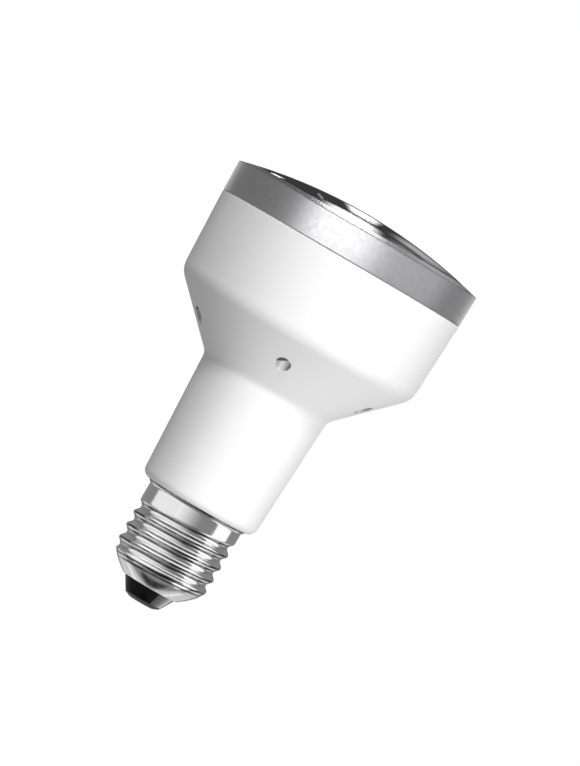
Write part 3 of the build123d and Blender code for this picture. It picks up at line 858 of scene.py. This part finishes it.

# %% [markdown]
# ## Housing
# The housing is one white moulding: a spigot inside the cap, a tapered neck, a cone, and a drafted cup with a
# stepped rim. It is turned from its profile. The five slanted scoops in the cone look as if a round-nosed pin
# had been pressed in at an angle. They repeat, so Geometry Nodes set one cutter round the axis and take all
# five out in a single Boolean. The same tree stores a mask of painted shade on the faces: on the side of each
# scoop that is taken as shaded, and on what looks straight down. The white finish darkens by it, because wide
# soft panels alone leave such small scoops too pale.

# %% Housing shell
housing_wall = 1.8
spigot_radius, spigot_foot = 12.7, 23.7
foot_height = 28.3
foot_radius = 16.1
neck_top = (17.8, 62.8)
shoulder = (33.35, 78.2)
cup_top = (34.3, 100.3)
step_outer, step_inner, step_top, step_foot = 32.95, 31.75, 104.9, 98.3
foot_blend, neck_blend, shoulder_blend, edge_blend = 2.3, 3.0, 6.0, 0.3
step_share = 0.1  # of the cup's inner height, taken up by the step
outer_run = [
    (spigot_radius, spigot_foot),
    (spigot_radius, foot_height),
    (foot_radius, foot_height, foot_blend),
    (*neck_top, neck_blend),
    (*shoulder, shoulder_blend),
    (*cup_top, edge_blend),
]
step_run = [
    (step_outer, cup_top[1]),
    (step_outer, step_top, edge_blend),
    (step_inner, step_top, edge_blend),
    (step_inner, step_foot),
]
inner_run = inset(outer_run, housing_wall)
inner_cup = inner_run[-1] + (inner_run[-2] - inner_run[-1]) * step_share
housing_corners = outer_run + step_run + [tuple(inner_cup)] + [tuple(p) for p in inner_run[-2::-1]]
housing_blank = turned("housing_blank", rounded(housing_corners), 192)
print("housing blank faces:", len(housing_blank.polygons))

# %% Scoop cutter
dimple_radius = 2.3
dimple_depth = 1.3
dimple_slant = math.radians(31)
pin_length = 2 * dimple_depth / math.sin(dimple_slant)
nose_steps = 20
nose_angles = [math.pi / 2 * k / nose_steps for k in range(nose_steps + 1)]
pin_points = [(dimple_radius * math.sin(a), -dimple_radius * math.cos(a)) for a in nose_angles]
pin_points += [(dimple_radius, pin_length), (0, pin_length)]
cutter = bpy.data.objects.new("dimple_cutter", turned("dimple_cutter", pin_points, 72, closed=False))
scene.collection.objects.link(cutter)
print("pin length in mm:", round(pin_length, 2))

# %% Scoop ring rule
ring_sizes = (
    "Ring Radius", "Ring Height", "Slant", "First Angle", "Cone Radius", "Cone Height", "Cone Slope"
)
ring_start = [("Housing", "Geometry"), ("Cutter", "Object")]
dimples, given = new_rule("dimple_ring", ring_sizes, counts=["Count"], start=ring_start)
m = partial(math_node, dimples)
spots = place(dimples, "GeometryNodePoints", {"Count": given["Count"]}).outputs[0]
index = place(dimples, "GeometryNodeInputIndex").outputs[0]
share = m("DIVIDE", index, given["Count"])
spot_angle = m("ADD", given["First Angle"], m("MULTIPLY", share, 2 * math.pi))
spot_place = on_circle(dimples, given["Ring Radius"], spot_angle, given["Ring Height"])
placed = place(dimples, "GeometryNodeSetPosition", {"Geometry": spots, "Position": spot_place}).outputs[0]
facing = place(dimples, "ShaderNodeCombineXYZ", {1: given["Slant"], 2: spot_angle}).outputs[0]
one = place(dimples, "GeometryNodeObjectInfo", {"Object": given["Cutter"]}).outputs["Geometry"]
ring_inputs = {"Points": placed, "Instance": one, "Rotation": facing}
many = place(dimples, "GeometryNodeInstanceOnPoints", ring_inputs).outputs[0]
cutters = place(dimples, "GeometryNodeRealizeInstances", {0: many}).outputs[0]
taken = place(
    dimples,
    "GeometryNodeMeshBoolean",
    {"Mesh 1": given["Housing"], "Mesh 2": cutters},
    operation="DIFFERENCE",
    solver="EXACT",
)
print("scoop ring inputs:", ring_sizes)

# %% Scoop ring rule: painted shade
light_lean = (-0.5, 0.87)  # where the shade's light comes from, across the axis and along it
cone_end = (10.5 * mm, 10 * mm)
sunk_edge = (0.05 * mm, 0.2 * mm)
roof_tilt = (-0.5, -0.7)
right_turn, right_shade = (0.1, 0.6), 0.5
left_turn, left_shade = (-0.4, -0.85), 0.75
down_tilt = (-0.9, -0.97)
# The mask below is painted shade: the roof and the sides of each scoop are darkened as if lit from one fixed
# side.
spot = place(dimples, "GeometryNodeInputPosition").outputs[0]
parts = split(dimples, spot)
flat = place(dimples, "ShaderNodeVectorMath", {0: spot, 1: (1, 1, 0)}, operation="MULTIPLY").outputs[0]
reach = place(dimples, "ShaderNodeVectorMath", {0: flat}, operation="LENGTH").outputs["Value"]
along = m("SUBTRACT", parts[2], given["Cone Height"])
cone_reach = m("ADD", given["Cone Radius"], m("MULTIPLY", along, given["Cone Slope"]))
sunk = ramp(dimples, m("SUBTRACT", cone_reach, reach), *sunk_edge, 0, 1)
inside = m("MULTIPLY", ramp(dimples, along, *cone_end, 0, 1), sunk)
looks = split(dimples, place(dimples, "GeometryNodeInputNormal").outputs[0])
tilted = m("ADD", m("MULTIPLY", looks[0], light_lean[0]), m("MULTIPLY", looks[2], light_lean[1]))
roof = ramp(dimples, tilted, *roof_tilt, 0, 1)
swirl = m("SUBTRACT", m("MULTIPLY", parts[0], looks[1]), m("MULTIPLY", parts[1], looks[0]))
sideways = m("DIVIDE", swirl, reach)
right_edge = ramp(dimples, sideways, *right_turn, 0, right_shade)
left_edge = ramp(dimples, sideways, *left_turn, 0, left_shade)
scoop = m("MULTIPLY", inside, m("MAXIMUM", roof, m("ADD", right_edge, left_edge)))
# Faces that look straight down get painted shade as well.
underside = ramp(dimples, looks[2], *down_tilt, 0, 1)
shaded = place(
    dimples,
    "GeometryNodeStoreNamedAttribute",
    {"Geometry": taken.outputs["Mesh"], "Name": "hollow", "Value": m("MAXIMUM", underside, scoop)},
    data_type="FLOAT",
    domain="FACE",
)
close_rule(dimples, shaded.outputs[0], given["Finish"])

# %% Housing
dimple_rise = 7.5
cone_slope = (shoulder[0] - neck_top[0]) / (shoulder[1] - neck_top[1])
cone_angle = math.atan(cone_slope)
pin_outset = dimple_radius - dimple_depth
housing_mesh = grown(
    "moulded_housing",
    dimples,
    {
        "Cutter": cutter,
        "Count": 5,
        "Ring Radius": (neck_top[0] + cone_slope * dimple_rise + pin_outset * math.cos(cone_angle)) * mm,
        "Ring Height": (neck_top[1] + dimple_rise - pin_outset * math.sin(cone_angle)) * mm,
        "Slant": math.pi + cone_angle - dimple_slant,
        "First Angle": math.radians(-88),
        "Cone Radius": neck_top[0] * mm,
        "Cone Height": neck_top[1] * mm,
        "Cone Slope": cone_slope,
        "Finish": finishes["white_plastic"],
    },
    start_mesh=housing_blank,
)
bpy.data.objects.remove(cutter)
soften(housing_mesh, 16)
new_piece("moulded_housing", housing_mesh, "housing")

# %% [markdown]
# ## Bezel and clear front
# A silver band goes round the rim and turns in over the front in a narrow lip. The clear front is a shallow
# dome that lies flush with that lip. Both follow one large sphere, so one function gives the height of the
# dome.

# %% Bezel
rim_height = 108.7
rim_radius = 34.5
dome_rise = 4.5
dome_radius = (rim_radius**2 + dome_rise**2) / (2 * dome_rise)
apex = rim_height + dome_rise
window = 30.3
bezel_bore = 33.1
rim_blend, lip_blend, band_blend = 0.3, 0.12, 0.2
band_chamfer = (0.3, 0.25)
flange_low, flange_high = 105.9, 107.5


def dome(radius, depth=0):
    """Height of the front's sphere at a radius, or of the sphere that lies deeper by a wall."""
    return apex - dome_radius + math.sqrt((dome_radius - depth) ** 2 - radius**2)


def dome_run(start, end, depth=0, count=24):
    """Points along the dome from one radius to another."""
    radii = [start + (end - start) * k / count for k in range(count + 1)]
    return [(radius, dome(radius, depth)) for radius in radii]


lip_run = dome_run(window, rim_radius - rim_blend, count=6)
bezel_corners = [(*lip_run[0], lip_blend)] + lip_run[1:-1] + [
    (rim_radius, rim_height, rim_blend),
    (cup_top[0], cup_top[1] + band_chamfer[1], band_blend),
    (cup_top[0] - band_chamfer[0], cup_top[1]),
    (bezel_bore, cup_top[1]),
    (bezel_bore, flange_high),
    (window, flange_high),
]
new_piece("silver_bezel", turned("silver_bezel", rounded(bezel_corners), 224), "bezel_ring")

# %% Clear front
lens_wall = 2.0
lens_gap = 0.15
lens_edge = window - lens_gap
lens_bore = lens_edge - lens_wall
flange_radius = 32.85
flange_run = [
    (lens_edge, flange_high),
    (flange_radius, flange_high),
    (flange_radius, flange_low),
    (lens_bore, flange_low),
]
front_points = dome_run(0, lens_edge) + flange_run + dome_run(lens_bore, 0, lens_wall)
new_piece("clear_dome", turned("clear_dome", front_points, 192, closed=False), "front_lens")

# %% [markdown]
# ## Reflector and tube
# Behind the clear front sits a bright bowl, and in it a folded fluorescent tube: six legs on a ring, joined
# in a row by short bridges near their tops and feet. Legs and bridges repeat, so Geometry Nodes set one leg
# and one bridge round the axis and join them into one skin.

# %% Reflector
holder_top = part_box("tube_holder")[1].z / mm
bowl_foot = 17.6
bowl_wall = 1.0
bowl_waist = (25.0, holder_top + 9.0)
bowl_mouth = (30.0, flange_low)
bowl_collar = 1.0
waist_blend, mouth_blend = 8.0, 0.3
bowl_run = [
    (bowl_foot, holder_top),
    (bowl_foot, holder_top + bowl_collar),
    (*bowl_waist, waist_blend),
    (*bowl_mouth, mouth_blend),
    (flange_radius, flange_low),
]
bowl_back = [tuple(p) for p in inset(bowl_run, -bowl_wall)[::-1]]
bowl_back[2] = (*bowl_back[2], waist_blend + bowl_wall)
new_piece("bright_bowl", turned("bright_bowl", rounded(bowl_run + bowl_back), 192), "reflector")

# %% Folded tube rule: legs
tube_low, tube_high = (corner.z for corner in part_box("discharge_tube"))
tube_sizes = {
    "Leg Radius": 4.7 * mm,
    "Ring Radius": 11.3 * mm,
    "Foot Height": tube_low,
    "Top Height": tube_high,
    "Bridge Radius": 2.5 * mm,
    "Low Bridge": (holder_top + 4.0) * mm,
    "High Bridge": tube_high - 5.4 * mm,
}
smallest_taper = 0.0004  # squared, so that a leg's tip keeps a face
leg_steps, leg_sides, bridge_sides = 96, 40, 28
folded, given = new_rule("folded_tube", tube_sizes, counts=["Legs"])
m = partial(math_node, folded)
index = place(folded, "GeometryNodeInputIndex").outputs[0]
foot = place(folded, "ShaderNodeCombineXYZ", {2: given["Foot Height"]}).outputs[0]
head = place(folded, "ShaderNodeCombineXYZ", {2: given["Top Height"]}).outputs[0]
straight = place(folded, "GeometryNodeCurvePrimitiveLine", {"Start": foot, "End": head}).outputs[0]
leg_points = place(folded, "GeometryNodeResampleCurve", {"Curve": straight, "Count": leg_steps})
height = split(folded, place(folded, "GeometryNodeInputPosition").outputs[0])[2]
dome_start = m("SUBTRACT", given["Top Height"], given["Leg Radius"])
up_dome = m("DIVIDE", m("SUBTRACT", height, dome_start), given["Leg Radius"], use_clamp=True)
taper = m("SQRT", m("MAXIMUM", m("SUBTRACT", 1.0, m("MULTIPLY", up_dome, up_dome)), smallest_taper))
ring = place(folded, "GeometryNodeCurvePrimitiveCircle", {"Resolution": leg_sides, "Radius": 1.0})
leg = place(
    folded,
    "GeometryNodeCurveToMesh",
    {
        "Curve": leg_points.outputs[0],
        "Profile Curve": ring.outputs[0],
        "Scale": m("MULTIPLY", taper, given["Leg Radius"]),
        "Fill Caps": True,
    },
).outputs[0]
ring_inputs = {"Vertices": given["Legs"], "Radius": given["Ring Radius"]}
legs_ring = place(folded, "GeometryNodeMeshCircle", ring_inputs, fill_type="NONE").outputs[0]
legs = place(folded, "GeometryNodeInstanceOnPoints", {"Points": legs_ring, "Instance": leg}).outputs[0]
print("tube sizes in mm:", {name: round(size / mm, 2) for name, size in tube_sizes.items()})

# %% Folded tube rule: bridges
half_step = m("DIVIDE", math.pi, given["Legs"])
bridge_turn = m("ADD", m("MULTIPLY", index, m("MULTIPLY", half_step, 2)), m("MULTIPLY", half_step, 3))
bridge_ring = m("MULTIPLY", given["Ring Radius"], m("COSINE", half_step))
by_turns = {"Factor": m("MODULO", index, 2.0), 2: given["High Bridge"], 3: given["Low Bridge"]}
bridge_height = place(folded, "ShaderNodeMix", by_turns).outputs[0]
bridge_place = on_circle(folded, bridge_ring, bridge_turn, bridge_height)
bridge_count = m("SUBTRACT", given["Legs"], 1.0)
bridge_spots = place(folded, "GeometryNodePoints", {"Count": bridge_count, "Position": bridge_place})
bridge_half = m("MULTIPLY", given["Ring Radius"], m("SINE", half_step))
bridge_ends = {
    "Start": place(folded, "ShaderNodeCombineXYZ", {1: m("MULTIPLY", bridge_half, -1.0)}).outputs[0],
    "End": place(folded, "ShaderNodeCombineXYZ", {1: bridge_half}).outputs[0],
}
bridge_line = place(folded, "GeometryNodeCurvePrimitiveLine", bridge_ends).outputs[0]
round_inputs = {"Resolution": bridge_sides, "Radius": given["Bridge Radius"]}
bridge_round = place(folded, "GeometryNodeCurvePrimitiveCircle", round_inputs).outputs[0]
bridge_inputs = {"Curve": bridge_line, "Profile Curve": bridge_round, "Fill Caps": True}
bridge = place(folded, "GeometryNodeCurveToMesh", bridge_inputs).outputs[0]
bridge_facing = place(folded, "ShaderNodeCombineXYZ", {2: bridge_turn}).outputs[0]
bridges = place(
    folded,
    "GeometryNodeInstanceOnPoints",
    {"Points": bridge_spots.outputs[0], "Instance": bridge, "Rotation": bridge_facing},
).outputs[0]
one_skin = place(
    folded, "GeometryNodeMeshBoolean", {"Self Intersection": True}, operation="UNION", solver="EXACT"
)
for group in (legs, bridges):
    joined = place(folded, "GeometryNodeRealizeInstances", {0: group}).outputs[0]
    folded.links.new(joined, one_skin.inputs["Mesh 2"])
close_rule(folded, one_skin.outputs["Mesh"], given["Finish"])

# %% Folded tube
tube_mesh = grown("folded_tube", folded, {**tube_sizes, "Legs": 6, "Finish": finishes["phosphor_glass"]})
soften(tube_mesh, 40)
new_piece("folded_tube", tube_mesh, "discharge_tube")

# %% [markdown]
# ## Which panels light which pieces
# A light's receiver collection names what it lights. Each piece goes into the set of its surface, and all the
# rest, the floor with it, into the set that only the overhead panel lights.

# %% Which panels light which pieces
panel_sets = {
    "moulded_housing": "white_body",
    "clear_dome": "front",
    "rolled_cap": "cap_metal",
    "cap_glass": "cap_black",
    "silver_bezel": "band_metal",
}
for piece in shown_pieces() + [floor]:
    lit_by[panel_sets.get(piece.name, "inner_pieces")].objects.link(piece)
